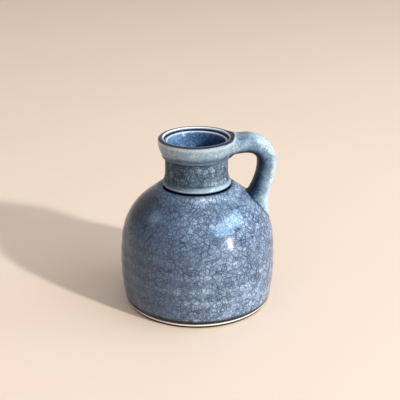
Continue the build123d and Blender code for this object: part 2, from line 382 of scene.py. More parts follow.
def make_mesh(name, vertices, faces, marks=None):
    """A smooth-shaded mesh object from points in millimetres, with named marks per vertex."""
    mesh = bpy.data.meshes.new(name)
    mesh.from_pydata((vertices * MM).tolist(), [], faces)
    for key, values in (marks or {}).items():
        layer = mesh.attributes.new(key, "FLOAT", "POINT")
        layer.data.foreach_set("value", np.asarray(values, np.float32))
    mesh.polygons.foreach_set("use_smooth", np.ones(len(mesh.polygons), bool))
    mesh.update()
    obj = bpy.data.objects.new(name, mesh)
    bpy.context.scene.collection.objects.link(obj)
    return obj


def outline_normals(points):
    """Unit normals of an outline, to the right of the way it runs."""
    ahead = np.gradient(points, axis=0)
    normal = np.stack([ahead[:, 1], -ahead[:, 0]], 1)
    return normal / np.maximum(np.linalg.norm(normal, axis=1), 1e-9)[:, None]


def turned_piece(name, outer, inner, relief, segments, marks, on_axis=False):
    """A closed piece turned about the axis. Relief moves its outer side only."""
    points = np.concatenate([outer, inner])
    ahead = np.roll(points, -1, axis=0)
    turns_left = (points[:, 0] * ahead[:, 1] - ahead[:, 0] * points[:, 1]).sum() > 0
    side = 1 if turns_left else -1
    normals = np.concatenate([side * outline_normals(outer), np.zeros_like(inner)])
    shown = np.concatenate([np.ones(len(outer)), np.zeros(len(inner))])
    turn = np.arange(segments) * 2 * math.pi / segments
    height = points[:, 1][None, :]
    moved = relief(turn[:, None], height) * shown[None, :]
    radius = points[:, 0][None, :] + normals[:, 0][None, :] * moved
    level = height + normals[:, 1][None, :] * moved
    count = len(points)
    x = radius * np.cos(turn)[:, None]
    y = radius * np.sin(turn)[:, None]
    grid = np.stack([x, y, np.broadcast_to(level, x.shape)], 2)
    values = {}
    for key, rule in marks.items():
        value = rule(turn[:, None], points[:, 0][None, :], height) * shown[None, :]
        values[key] = np.broadcast_to(value, x.shape).reshape(-1)
    faces = []
    last = count - 1 if on_axis else count
    for s in range(segments):
        a = s * count
        b = ((s + 1) % segments) * count
        for i in range(last):
            j = (i + 1) % count
            quad = (a + i, b + i, b + j, a + j)
            faces.append(quad if turns_left else quad[::-1])
    vertices = grid.reshape(-1, 3)
    obj = make_mesh(name, vertices, faces, values)
    if on_axis:
        weld_to_axis(obj)
    return obj


def weld_to_axis(obj):
    """Merges the rings of points that lie on the axis into single points."""
    work = bmesh.new()
    work.from_mesh(obj.data)
    near = [v for v in work.verts if math.hypot(v.co.x, v.co.y) < 1e-6]
    bmesh.ops.remove_doubles(work, verts=near, dist=1e-6)
    work.to_mesh(obj.data)
    work.free()
    obj.data.polygons.foreach_set("use_smooth", np.ones(len(obj.data.polygons), bool))


# ---- handle

HANDLE_LEVEL = 133.2
HANDLE_DEPTH = 8.0
HANDLE_WIDTH = 10.0
BEND = 16.6
BEND_CENTRE = (41.0, 116.4)
RETURN = 45.0
SECTION_POWER = 2.25
TABLE_LOW = (20.0, 52.0)
TABLE_HIGH = (74.0, 148.0)
GRID_LOW = (20.6, -21.0, 54.0)
GRID_HIGH = (70.0, 21.0, 146.0)
GRID_STEP = 0.6
COAT_END_RADIUS = 27.4
COAT_REACH_UNDER = 1.6
COAT_REACH_OVER = 0.4
COAT_SINK = 0.07
FULLER = 0.1


def handle_stations():
    """Sections down the handle: centre out, centre up, turned-down degrees, depth, width."""
    rows = [
        (27.6, HANDLE_LEVEL - 0.9, 0, HANDLE_DEPTH - 0.8, HANDLE_WIDTH + 3.2),
        (31.0, HANDLE_LEVEL - 0.4, 0, HANDLE_DEPTH - 0.2, HANDLE_WIDTH + 2.2),
        (36.0, HANDLE_LEVEL, 0, HANDLE_DEPTH, HANDLE_WIDTH + 0.7),
        (41.0, HANDLE_LEVEL, 0, HANDLE_DEPTH, HANDLE_WIDTH),
    ]
    for down in (15, 30, 45, 60, 75, 90):
        out, up = polar(BEND_CENTRE, BEND, 90 - down)
        slimmer = 0.3 * math.sin(math.radians(down))
        rows.append((out, up, down, HANDLE_DEPTH - slimmer, HANDLE_WIDTH))
    centre = (BEND_CENTRE[0] + BEND - RETURN, BEND_CENTRE[1])
    for past in (7, 14, 21):
        out, up = polar(centre, RETURN, -past)
        rows.append((out, up, 90 + past, HANDLE_DEPTH - 0.3, HANDLE_WIDTH + 0.01 * past))
    rows.append((52.7, 94.6, 120, 8.0, HANDLE_WIDTH + 0.5))
    rows.append((51.3, 88.2, 128.5, 9.8, HANDLE_WIDTH + 1.2))
    rows.append((50.9, 80.1, 137.5, 12.9, HANDLE_WIDTH + 2.2))
    rows.append((47.2, 72.4, 137.5, 13.7, HANDLE_WIDTH + 2.4))
    return np.array(rows)


def spline(knots, values, at):
    """A natural cubic spline through the values, read at other places."""
    n = len(knots)
    gap = np.diff(knots)
    rows = np.zeros((n, n))
    right = np.zeros((n, values.shape[1]))
    rows[0, 0] = rows[-1, -1] = 1
    for i in range(1, n - 1):
        rows[i, i - 1 : i + 2] = gap[i - 1], 2 * (gap[i - 1] + gap[i]), gap[i]
        slope_out = (values[i + 1] - values[i]) / gap[i]
        slope_in = (values[i] - values[i - 1]) / gap[i - 1]
        right[i] = 6 * (slope_out - slope_in)
    bend = np.linalg.solve(rows, right)
    i = np.clip(np.searchsorted(knots, at) - 1, 0, n - 2)
    h = gap[i][:, None]
    low = ((knots[i + 1] - at) / gap[i])[:, None]
    high = 1 - low
    curve = ((low**3 - low) * bend[i] + (high**3 - high) * bend[i + 1]) * h * h / 6
    return low * values[i] + high * values[i + 1] + curve


class Table:
    """Values on a flat grid of two directions, read between its points."""

    def __init__(self, low, high, step):
        self.low = np.array(low, float)
        self.step = step
        self.size = np.ceil((np.array(high) - low) / step).astype(int) + 1
        first = self.low[0] + step * np.arange(self.size[0])
        second = self.low[1] + step * np.arange(self.size[1])
        self.points = np.stack(np.meshgrid(first, second, indexing="ij"), -1).reshape(-1, 2)

    def fill(self, *columns):
        self.values = np.stack(columns, -1).reshape(self.size[0], self.size[1], -1)

    def read(self, a, b):
        u = np.clip((a - self.low[0]) / self.step, 0, self.size[0] - 1.001)
        v = np.clip((b - self.low[1]) / self.step, 0, self.size[1] - 1.001)
        i, j = u.astype(int), v.astype(int)
        fu, fv = (u - i)[..., None], (v - j)[..., None]
        grid = self.values
        near = grid[i, j] * (1 - fv) + grid[i, j + 1] * fv
        far = grid[i + 1, j] * (1 - fv) + grid[i + 1, j + 1] * fv
        return near * (1 - fu) + far * fu


def distance_table(outline, low, high, step=0.3):
    """Signed distance to a closed outline, negative inside it."""
    table = Table(low, high, step)
    ends = np.roll(outline, -1, axis=0)
    best = np.full(len(table.points), 1e9)
    inside = np.zeros(len(table.points), bool)
    px, pz = table.points.T
    for (ax, az), (bx, bz) in zip(outline, ends):
        dx, dz = bx - ax, bz - az
        t = np.clip(((px - ax) * dx + (pz - az) * dz) / max(dx * dx + dz * dz, 1e-12), 0, 1)
        best = np.minimum(best, np.hypot(px - ax - t * dx, pz - az - t * dz))
        if az != bz:
            crosses = (az > pz) != (bz > pz)
            inside ^= crosses & (px < ax + (pz - az) * dx / dz)
    table.fill(np.where(inside, -best, best))
    return table


def handle_table(low, high, step=0.3):
    """For each place in the handle's plane: offset across its section, depth and width."""
    stations = handle_stations()
    knots = np.concatenate([[0], np.cumsum(np.hypot(*np.diff(stations[:, :2], axis=0).T))])
    table = Table(low, high, step)
    px, pz = table.points.T
    best = np.full(len(px), 1e18)
    offset, depth, width = (np.zeros(len(px)) for _ in range(3))
    rows = spline(knots, stations, np.linspace(0, knots[-1], 500))
    for out, up, down, half_depth, half_width in rows:
        turn = math.radians(down)
        along = (px - out) * math.cos(turn) - (pz - up) * math.sin(turn)
        across = (px - out) * math.sin(turn) + (pz - up) * math.cos(turn)
        cost = along**2 + 0.01 * across**2
        better = cost < best
        best = np.where(better, cost, best)
        offset = np.where(better, across, offset)
        depth = np.where(better, half_depth, depth)
        width = np.where(better, half_width, width)
    table.fill(offset, depth, width)
    return table


def beyond_ends(x, z):
    """How far a place lies past the plane of the handle's first or last section."""
    first, last = handle_stations()[[0, -1]]
    turn = math.radians(last[2])
    past_last = (x - last[0]) * math.cos(turn) - (z - last[1]) * math.sin(turn)
    return np.maximum(first[0] - x, past_last)


HANDLE_WAVES = [(rng.normal(size=3) * 0.13, rng.uniform(0, 6.28), 0.05) for _ in range(8)]


def bar_distance(table, x, y, z):
    """Distance from the handle's bar."""
    offset, depth, width = np.moveaxis(table.read(x, z), -1, 0)
    u = np.abs(offset / depth) + 1e-6
    v = np.abs(y / width) + 1e-6
    n = SECTION_POWER
    q = (u**n + v**n) ** (1 / n)
    steep = q ** (1 - n) * np.hypot(u ** (n - 1) / depth, v ** (n - 1) / width)
    distance = (q - 1) / np.maximum(steep, 0.02)
    for way, phase, size in HANDLE_WAVES:
        distance = distance - size * np.cos(way[0] * x + way[1] * y + way[2] * z + phase)
    distance = distance - FULLER
    return np.maximum(distance, beyond_ends(x, z))


def smooth_min(a, b, blend):
    """The smaller of two distances, with a fillet where they are alike."""
    h = np.clip(blend - np.abs(a - b), 0, None) / blend
    return np.minimum(a, b) - h * h * blend / 4


def lip_band(radius, height):
    """One on the band of painted dark reflection that runs round the top of the rim."""
    return (1 - smooth_step(1.2, 1.9, np.abs(radius - LIP_RADIUS))) * (height > RIM_TOP - 1.2)


def vase_section():
    """Closed outline of the vase's section, for the handle to grow out of."""
    body, _ = body_outline()
    neck, _ = neck_outline()
    rim, _ = rim_outline()
    upper = body[body[:, 1] > 40]
    return join(upper, neck, rim, (0.0, LEDGE_HEIGHT), (0.0, 40.0))


def surface_net(values, origin, step):
    """Points and quads of the surface where sampled values change sign."""
    inside = values < 0
    shape = np.array(values.shape) - 1
    total = np.zeros((*shape, 3))
    count = np.zeros(shape)
    quads = []
    for axis in range(3):
        near = [slice(None)] * 3
        far = [slice(None)] * 3
        near[axis], far[axis] = slice(None, -1), slice(1, None)
        a, b = values[tuple(near)], values[tuple(far)]
        where = np.argwhere((a < 0) != (b < 0))
        first, second = a[tuple(where.T)], b[tuple(where.T)]
        place = where.astype(float)
        place[:, axis] += first / (first - second)
        others = [k for k in range(3) if k != axis]
        corners = []
        for back_one, back_two in ((0, 0), (1, 0), (1, 1), (0, 1)):
            cell = where.copy()
            cell[:, others[0]] -= back_one
            cell[:, others[1]] -= back_two
            np.add.at(total, tuple(cell.T), place)
            np.add.at(count, tuple(cell.T), 1)
            corners.append(cell)
        quads.append((corners, first < 0, axis))
    cells = np.argwhere(count > 0)
    number = np.full(shape, -1)
    number[tuple(cells.T)] = np.arange(len(cells))
    points = total[tuple(cells.T)] / count[tuple(cells.T)][:, None]
    faces = []
    for corners, leaving, axis in quads:
        ids = np.stack([number[tuple(c.T)] for c in corners], 1)
        flip = leaving if axis != 1 else ~leaving
        ids[flip] = ids[flip][:, ::-1]
        faces.append(ids)
    return origin + step * points, np.concatenate(faces)


def clear_doubtful_cells(values):
    """Flips the weakest sample wherever the surface would touch itself at an edge or a point."""

    def flip(corners, doubtful):
        for spot in np.argwhere(doubtful):
            places = [tuple(spot + offset) for offset in corners]
            weakest = min(places, key=lambda place: abs(values[place]))
            values[weakest] = -0.01 if values[weakest] >= 0 else 0.01

    def part(offset, reach):
        return tuple(slice(o, n - r + o) for o, n, r in zip(offset, values.shape, reach))

    for _ in range(12):
        found = 0
        for axis in range(3):
            one, two = np.delete(np.eye(3, dtype=int), axis, axis=0)
            corners = [0 * one, one, one + two, two]
            inside = [values[part(c, one + two)] < 0 for c in corners]
            crossed = (inside[0] == inside[2]) & (inside[1] == inside[3]) & (inside[0] != inside[1])
            found += crossed.sum()
            flip(corners, crossed)
        cube = [np.array((i, j, k)) for i in (0, 1) for j in (0, 1) for k in (0, 1)]
        inside = [values[part(c, (1, 1, 1))] < 0 for c in cube]
        total = sum(state.astype(int) for state in inside)
        for first in range(4):
            pair = inside[first] == inside[7 - first]
            alone = (total == 2) & pair & inside[first] | (total == 6) & pair & ~inside[first]
            found += alone.sum()
            flip([cube[first], cube[7 - first]], alone)
        if not found:
            break


def volume(points, faces):
    """Signed volume inside a mesh of quads, positive when its faces look outward."""
    a, b, c, d = (points[faces[:, k]] for k in range(4))
    first = np.einsum("ij,ij->i", a, np.cross(b, c))
    second = np.einsum("ij,ij->i", a, np.cross(c, d))
    return (first + second).sum() / 6


def relax(points, faces, field, rounds, step):
    """Evens out a mesh and pulls its points back onto the surface field(points) = 0."""
    pairs = np.concatenate([faces[:, [i, (i + 1) % 4]] for i in range(4)])
    degree = np.bincount(pairs[:, 0], minlength=len(points))
    degree = degree + np.bincount(pairs[:, 1], minlength=len(points))
    for number in range(rounds):
        if number < rounds - 2:
            total = np.zeros_like(points)
            for k in range(3):
                total[:, k] = np.bincount(pairs[:, 0], points[pairs[:, 1], k], len(points))
                total[:, k] += np.bincount(pairs[:, 1], points[pairs[:, 0], k], len(points))
            points = points * 0.5 + 0.5 * total / degree[:, None]
        value = field(points)
        slope = np.stack(
            [field(points + 0.05 * axis) - field(points - 0.05 * axis) for axis in np.eye(3)], 1
        ) / 0.1
        steep = np.maximum((slope**2).sum(1), 0.25)
        move = -(value / steep)[:, None] * slope
        length = np.linalg.norm(move, axis=1)
        points = points + move * np.minimum(1, step / np.maximum(length, 1e-9))[:, None]
    return points


def make_handle():
    """The handle's coat: the bar, run into the rim and the shoulder with soft fillets."""
    section = distance_table(vase_section(), TABLE_LOW, TABLE_HIGH)
    bar_table = handle_table(TABLE_LOW, TABLE_HIGH)

    def fields(points):
        x, y, z = points.T
        radius = np.hypot(x, y)
        turn = np.arctan2(y, x)
        vase = section.read(radius, z)[..., 0] - vase_relief(turn, z)
        bar = bar_distance(bar_table, x, y, z)
        return vase, bar, z, radius

    def field(points):
        vase, bar, z, radius = fields(points)
        blend = 2.4 + 1.4 * smooth_step(82, 90, z) + 1.0 * smooth_step(102, 117, z)
        both = smooth_min(bar, vase, blend)
        sink = COAT_SINK * smooth_step(0, 1, bar / blend)
        value = np.maximum(both + sink, -(vase + COAT_REACH_UNDER))
        value = np.maximum(value, bar - blend - COAT_REACH_OVER)
        return np.maximum(value, COAT_END_RADIUS - radius)

    origin = np.array(GRID_LOW)
    size = np.ceil((np.array(GRID_HIGH) - origin) / GRID_STEP).astype(int) + 1
    axes = [origin[k] + GRID_STEP * np.arange(size[k]) for k in range(3)]
    grid = np.stack(np.meshgrid(*axes, indexing="ij"), -1).reshape(-1, 3)
    values = field(grid).reshape(size)
    for axis in range(3):
        for side in (0, -1):
            edge = [slice(None)] * 3
            edge[axis] = side
            values[tuple(edge)] = 1.0
    clear_doubtful_cells(values)
    points, faces = surface_net(values, origin, GRID_STEP)
    points = relax(points, faces, field, 7, 0.5 * GRID_STEP)
    if volume(points, faces) < 0:
        faces = faces[:, ::-1]
    marks = handle_marks(points, fields, bar_table)
    return make_mesh("handle_glaze_coat", points, faces.tolist(), marks)


def handle_marks(points, fields, bar_table):
    """Thick glaze and painted shade in the creases at both roots, painted shade on the bar's inner side,
    and painted highlights on its outer side and top.
    """
    vase, _, z, radius = fields(points)
    x, y = points[:, 0], points[:, 1]
    offset, depth, width = np.moveaxis(bar_table.read(x, z), -1, 0)
    outward = offset / depth
    # Thick glaze and painted shade in the creases at both roots.
    lower_crease = 0.75 * smooth_step(1.5, 0.2, vase) * (1 - smooth_step(97, 107, z))
    upper_crease = smooth_step(3.0, 0.3, vase) * smooth_step(117, 122, z)
    upper_crease = upper_crease * (1 - smooth_step(132, 138, z))
    # Painted shade on the bar's inner side.
    inner_side = smooth_step(-0.1, 0.95, -outward)
    back_edge = smooth_step(0.3, 0.8, y / width) * smooth_step(0.1, 0.7, outward)
    on_top = smooth_step(0.3, 0.9, outward)
    top_dark = 0.5 * on_top * smooth_step(31, 33, radius) * (1 - smooth_step(38, 46, x))
    rim_light = 0.25 * (1 - smooth_step(31, 36, radius)) * smooth_step(126, 130, z)
    # Painted light on the bar's outer side, which faces the key light.
    outer_light = 0.5 * smooth_step(0.0, 0.7, outward) * smooth_step(42, 50, x)
    # Painted dark reflection on the lip's band joins the pools and shade.
    pool_and_shade = lower_crease + 0.2 * upper_crease + 0.95 * lip_band(radius, z)
    pool_and_shade = pool_and_shade + 0.6 * inner_side**2 + 0.6 * back_edge
    return {
        "pool_and_shade": np.clip(pool_and_shade, 0, 1),
        # Painted highlight along the bar's outer side and top.
        "thin_and_highlight": 0.2 * smooth_step(0.5, 1.0, outward),
        "tone": 0.15 - 0.5 * inner_side - top_dark + outer_light + rim_light,
    }


# ---- materials

class Shader:
    """Short ways to add and join the nodes of one material."""

    def __init__(self, name):
        self.material = bpy.data.materials.new(name)
        self.material.use_nodes = True
        self.tree = self.material.node_tree
        self.tree.nodes.clear()

    def add(self, kind, inputs=None, **settings):
        node = self.tree.nodes.new(kind)
        for key, value in settings.items():
            setattr(node, key, value)
        self.fill(node, inputs or {})
        return node

    def math(self, operation, a, b):
        return self.add("ShaderNodeMath", {0: a, 1: b}, operation=operation).outputs[0]

    def vector(self, operation, a, b):
        return self.add("ShaderNodeVectorMath", {0: a, 1: b}, operation=operation).outputs[0]

    def spread(self, value, low, high, to_low=0.0, to_high=1.0):
        """A smooth step from one level to another as a value goes from low to high."""
        inputs = {0: value, 1: low, 2: high, 3: to_low, 4: to_high}
        node = self.add("ShaderNodeMapRange", inputs, interpolation_type="SMOOTHSTEP")
        return node.outputs[0]

    def fill(self, node, inputs):
        """Sets each input to a value, or joins it to another node's output."""
        for key, value in inputs.items():
            if isinstance(value, bpy.types.NodeSocket):
                self.tree.links.new(value, node.inputs[key])
            else:
                node.inputs[key].default_value = value

    def mix(self, amount, a, b):
        node = self.add("ShaderNodeMix", data_type="RGBA")
        self.fill(node, {0: amount, 6: a, 7: b})
        return node.outputs[2]

    def mark(self, name):
        return self.add("ShaderNodeAttribute", attribute_name=name).outputs["Fac"]

    def place(self):
        """Where the surface point is, in millimetres."""
        spot = self.add("ShaderNodeTexCoord").outputs["Object"]
        return self.vector("MULTIPLY", spot, (1000.0, 1000.0, 1000.0))

    def noise(self, place, size, detail=3.0, rough=0.55, twist=0.0):
        inputs = {
            "Vector": place,
            "Scale": 1.0 / size,
            "Detail": detail,
            "Roughness": rough,
            "Distortion": twist,
        }
        return self.add("ShaderNodeTexNoise", inputs)

    def cracks(self, place, cell, inner, outer):
        """One where a net of cracks runs and nought between; widths in millimetres."""
        inputs = {"Vector": place, "Scale": 1.0 / cell, "Randomness": 1.0}
        node = self.add("ShaderNodeTexVoronoi", inputs, feature="DISTANCE_TO_EDGE")
        distance = self.math("MULTIPLY", node.outputs["Distance"], cell)
        return self.spread(distance, inner, outer, 1.0, 0.0)

    def surface(self, colour, roughness, height, coat=0.0, coat_roughness=0.03):
        """The finished material; under a coat, the coat alone reflects. Height is in millimetres."""
        bump = self.add("ShaderNodeBump", {"Height": height, "Distance": MM, "Strength": 1.0})
        inputs = {
            "Base Color": colour,
            "Roughness": roughness,
            "IOR": 1.5,
            "Specular IOR Level": 0.0 if coat else 0.5,
            "Coat Weight": coat,
            "Coat Roughness": coat_roughness,
            "Coat IOR": 1.5,
            "Normal": bump.outputs[0],
            "Coat Normal": bump.outputs[0],
        }
        shader = self.add("ShaderNodeBsdfPrincipled", inputs)
        output = self.add("ShaderNodeOutputMaterial")
        self.tree.links.new(shader.outputs[0], output.inputs["Surface"])
        return self.material


def rgb(r, g, b):
    """A colour given as it is seen on a screen, 0 to 255."""

    def straight(value):
        value = value / 255
        return value / 12.92 if value <= 0.04045 else ((value + 0.055) / 1.055) ** 2.4

    return (straight(r), straight(g), straight(b), 1.0)


WIDE_CELL = 4.4
ACROSS_CELL = 5.2
FINE_CELL = 2.4


def glaze_material(
    name, deep, middle, milky, crack, pale, pool_and_shade, crack_amount, shift, gloss=0.8, mottle=1.0
):
    """Glossy crackle glaze: mottled colour, a net of cracks, pale edges and painted highlights, dark
    pools and painted shade.
    """
    s = Shader(name)
    place = s.vector("ADD", s.place(), (shift, 0.3 * shift, 0.0))
    warp = s.noise(place, 6.0, 2.0).outputs["Color"]
    warp = s.vector("SUBTRACT", warp, (0.5, 0.5, 0.5))
    crooked = s.vector("ADD", place, s.vector("MULTIPLY", warp, (0.7, 0.7, 0.7)))
    beside = s.vector("ADD", crooked, (211.0, -87.0, 143.0))

    cloud = s.noise(place, 24.0, 4.0, 0.6, 0.5).outputs["Fac"]
    fleck = s.noise(place, 4.0, 3.0, 0.6).outputs["Fac"]
    grain = s.noise(place, 1.1, 2.0, 0.6).outputs["Fac"]
    streak_place = s.vector("MULTIPLY", place, (1.0, 1.0, 0.16))
    streak = s.noise(streak_place, 4.0, 3.0, 0.6).outputs["Fac"]
    band_place = s.vector("MULTIPLY", place, (0.10, 0.10, 1.0))
    band = s.noise(band_place, 7.0, 3.0, 0.55).outputs["Fac"]
    plate = s.add("ShaderNodeTexVoronoi", {"Vector": crooked, "Scale": 1 / WIDE_CELL}, feature="F1")
    plate_tone = s.add("ShaderNodeSeparateXYZ", {0: plate.outputs["Color"]}).outputs[0]

    tone = s.math("MULTIPLY", s.math("SUBTRACT", cloud, 0.5), 0.9)
    for part, amount in ((fleck, 0.6), (grain, 1.4), (streak, 0.5), (band, 0.8), (plate_tone, 0.34)):
        tone = s.math("ADD", tone, s.math("MULTIPLY", s.math("SUBTRACT", part, 0.5), amount))
    tone = s.math("ADD", s.math("MULTIPLY", tone, mottle), s.mark("tone"))
    colour = s.mix(s.spread(tone, -0.42, 0.10), deep, middle)
    colour = s.mix(s.spread(tone, 0.04, 0.68), colour, milky)

    wide = s.cracks(crooked, WIDE_CELL, 0.07, 0.38)
    across = s.cracks(beside, ACROSS_CELL, 0.07, 0.36)
    fine = s.cracks(beside, FINE_CELL, 0.05, 0.30)
    patchy = s.spread(s.noise(place, 15.0, 2.0).outputs["Fac"], 0.35, 0.60, 0.65, 0.95)
    broken = s.spread(s.noise(place, 3.2, 2.0).outputs["Fac"], 0.36, 0.56, 0.15, 1.0)
    net = s.math("MAXIMUM", wide, s.math("MULTIPLY", across, 0.85))
    net = s.math("MAXIMUM", net, s.math("MULTIPLY", s.math("MULTIPLY", fine, broken), 0.7))
    net = s.math("MULTIPLY", s.math("MULTIPLY", net, patchy), crack_amount)
    colour = s.mix(net, colour, crack)

    # Pale glaze where it runs thin, and painted highlights.
    colour = s.mix(s.mark("thin_and_highlight"), colour, pale)
    # Dark pools of thick glaze, and painted shade.
    colour = s.mix(s.mark("pool_and_shade"), colour, pool_and_shade)

    hollow = s.math("MULTIPLY", net, -0.035)
    swell = s.math("MULTIPLY", s.noise(place, 9.0, 2.0).outputs["Fac"], 0.10)
    ripple = s.math("MULTIPLY", grain, 0.045)
    height = s.math("ADD", hollow, s.math("ADD", swell, ripple))
    rough = s.spread(fleck, 0.3, 0.7, 0.25, 0.4)
    return s.surface(colour, rough, height, coat=gloss, coat_roughness=0.08)


def clay_material(name, dark, light, painted_shade=None):
    """Fired clay: fine grog, specks and a dry surface, with dark painted shade where it is asked for."""
    rough = 0.75
    s = Shader(name)
    place = s.place()
    cloud = s.noise(place, 9.0, 4.0, 0.6).outputs["Fac"]
    grain = s.noise(place, 0.7, 2.0, 0.7).outputs["Fac"]
    colour = s.mix(s.spread(cloud, 0.3, 0.7), dark, light)
    speck = s.spread(s.noise(place, 1.3, 1.0).outputs["Fac"], 0.66, 0.74)
    colour = s.mix(s.math("MULTIPLY", speck, 0.5), colour, rgb(96, 74, 56))
    # Dark painted shade where the mark asks for it.
    if painted_shade:
        colour = s.mix(s.mark("painted_shade"), colour, painted_shade)
    height = s.math("MULTIPLY", grain, 0.09)
    roughness = s.spread(grain, 0.2, 0.8, rough - 0.1, rough + 0.1)
    return s.surface(colour, roughness, height)


def floor_material():
    s = Shader("pale_floor")
    place = s.place()
    cloud = s.noise(place, 300.0, 3.0).outputs["Fac"]
    colour = s.mix(cloud, rgb(236, 217, 200), rgb(240, 222, 206))
    height = s.math("MULTIPLY", s.noise(place, 2.0).outputs["Fac"], 0.02)
    return s.surface(colour, 0.6, height)


BODY_GLAZE = glaze_material(
    "blue_crackle_glaze",
    deep=rgb(104, 128, 160),
    middle=rgb(156, 182, 212),
    milky=rgb(210, 228, 242),
    crack=rgb(20, 32, 58),
    pale=rgb(200, 214, 224),
    pool_and_shade=rgb(12, 20, 36),
    crack_amount=0.85,
    shift=17.0,
)
NECK_GLAZE = glaze_material(
    "grey_blue_crackle_glaze",
    deep=rgb(58, 76, 90),
    middle=rgb(106, 128, 150),
    milky=rgb(176, 196, 208),
    crack=rgb(20, 30, 44),
    pale=rgb(176, 204, 226),
    pool_and_shade=rgb(6, 10, 20),
    crack_amount=0.85,
    shift=31.0,
    gloss=0.3,
    mottle=0.75,
)
RIM_GLAZE = glaze_material(
    "pale_breaking_glaze",
    deep=rgb(78, 100, 124),
    middle=rgb(138, 160, 176),
    milky=rgb(200, 216, 220),
    crack=rgb(60, 80, 104),
    pale=rgb(236, 242, 244),
    pool_and_shade=rgb(10, 20, 42),
    crack_amount=0.35,
    shift=67.0,
    mottle=0.5,
)
HANDLE_GLAZE = glaze_material(
    "mottled_handle_glaze",
    deep=rgb(50, 70, 98),
    middle=rgb(112, 140, 164),
    milky=rgb(184, 206, 220),
    crack=rgb(40, 58, 86),
    pale=rgb(220, 232, 238),
    pool_and_shade=rgb(12, 22, 40),
    crack_amount=0.5,
    shift=67.0,
    gloss=0.4,
    mottle=0.6,
)
INSIDE_GLAZE = glaze_material(
    "deep_blue_lining_glaze",
    deep=rgb(44, 76, 122),
    middle=rgb(78, 116, 166),
    milky=rgb(126, 164, 206),
    crack=rgb(16, 30, 64),
    pale=rgb(214, 226, 238),
    pool_and_shade=rgb(6, 14, 32),
    crack_amount=0.7,
    shift=93.0,
)
CLAY = clay_material("fired_stoneware", rgb(176, 152, 126), rgb(204, 184, 158))
# The dark colour is painted shade under the pale band.
FOOT_CLAY = clay_material(
    "bare_foot_clay", rgb(244, 238, 230), rgb(253, 250, 245), painted_shade=rgb(24, 20, 20)
)
SLIP = clay_material("fired_slip", rgb(160, 138, 114), rgb(188, 166, 140))


def paint(obj, material):
    obj.data.materials.clear()
    obj.data.materials.append(material)


# ---- pieces

def near(value, centre, reach):
    """One at the centre, falling to nought at the reach."""
    return np.clip(1 - np.abs(value - centre) / reach, 0, 1)


# The side turned away from the lights, which gets painted shade.
DARK_SIDE = 3.5
DULLER_SIDE = -0.4
BLOTCH_TOP = 35.0
BLOTCH_WIDTH = 3.4


def body_pool_and_shade(turn, radius, height):
    """Thick glaze at the lower edge, in the groove and in ring hollows; painted shade in the groove,
    down the left side and in a streak on the left shoulder.
    """
    low = 0.95 * (1 - smooth_step(GLAZE_LINE + 1.8, GLAZE_LINE + 5.0, height))
    # Thick glaze and painted shade in the groove.
    groove = 1 - smooth_step(CROWN_RADIUS - 0.6, CROWN_RADIUS + 1.0, radius)
    hollow = 0.16 * (0.5 - 0.5 * np.cos(2 * math.pi * ring_phase(turn, height)))
    # Painted shade down the left side and in a streak on the left shoulder.
    left = 0.42 * facing(turn, DARK_SIDE, 4)
    side = bell(wrapped(turn - 3.3), 0, 0.55)
    run = 0.4 * side * smooth_step(72, 80, height) * (1 - smooth_step(93, 98, height))
    return np.clip(low + groove + left + run + hollow * ring_fade(height), 0, 1)


BLOTCHES = [
    (k + rng.uniform(-0.3, 0.3), rng.uniform(-1.5, 1.5), rng.uniform(0.2, 1.0), rng.uniform(0.8, 1.3))
    for k in range(32)
]


def body_tone(turn, radius, height):
    """Lighter and darker zones: the pale top of the shoulder, painted shade on the left side, a duller
    right front, a dark band and pale low drips.
    """
    top_band = 0.30 * smooth_step(94, 97, height) * (1 - smooth_step(99.3, 99.9, height))
    dark_band = -0.16 * bell(height, 39.5, 4.0)
    # Painted shade on the left side, turned away from the lights.
    painted_shade_side = -0.80 * facing(turn, DARK_SIDE, 4)
    duller_side = -0.20 * facing(turn, DULLER_SIDE, 3)
    total = top_band + dark_band + painted_shade_side + duller_side
    for place, lift, strength, width in BLOTCHES:
        away = wrapped(turn - place * 2 * math.pi / len(BLOTCHES)) * BELLY_RADIUS
        side = bell(away, 0, BLOTCH_WIDTH * width)
        below = BLOTCH_TOP + lift - 0.9 * (away / BLOTCH_WIDTH) ** 2 - height
        drop = smooth_step(-0.6, 1.2, below) * np.exp(-np.maximum(below, 0) / 6.5)
        total = total + 0.42 * strength * side * drop
    return total


def neck_pool_and_shade(turn, radius, height):
    """Thick glaze and painted shade in the groove, and painted shade just under the rim."""
    # Thick glaze and painted shade in the groove.
    groove = 1 - smooth_step(CROWN_HEIGHT + 0.8, CROWN_HEIGHT + 1.6, height)
    # Painted shade under the rim's overhang.
    under_rim = 0.6 * smooth_step(RIM_BOTTOM - 2.2, RIM_BOTTOM - 0.2, height)
    return np.clip(groove + under_rim, 0, 1)


def neck_thin_and_highlight(turn, radius, height):
    """Pale glaze breaking on the skirt's edge, with a painted highlight along the skirt, strongest in
    front, toward the right.
    """
    # Pale glaze breaking on the skirt's edge, with a painted highlight.
    edge = 0.5 * near(height, SKIRT_HEIGHT - 0.2, 1.0)
    # A painted highlight along the skirt, strongest on the right front.
    front = 0.1 + 0.9 * facing(turn, -0.95, 4)
    return edge + 0.75 * front * near(height, SKIRT_HEIGHT + 1.2, 2.2)


NECK_DRIPS = [(rng.uniform(0, 6.28), rng.uniform(6, 20), rng.uniform(0.1, 0.35)) for _ in range(14)]


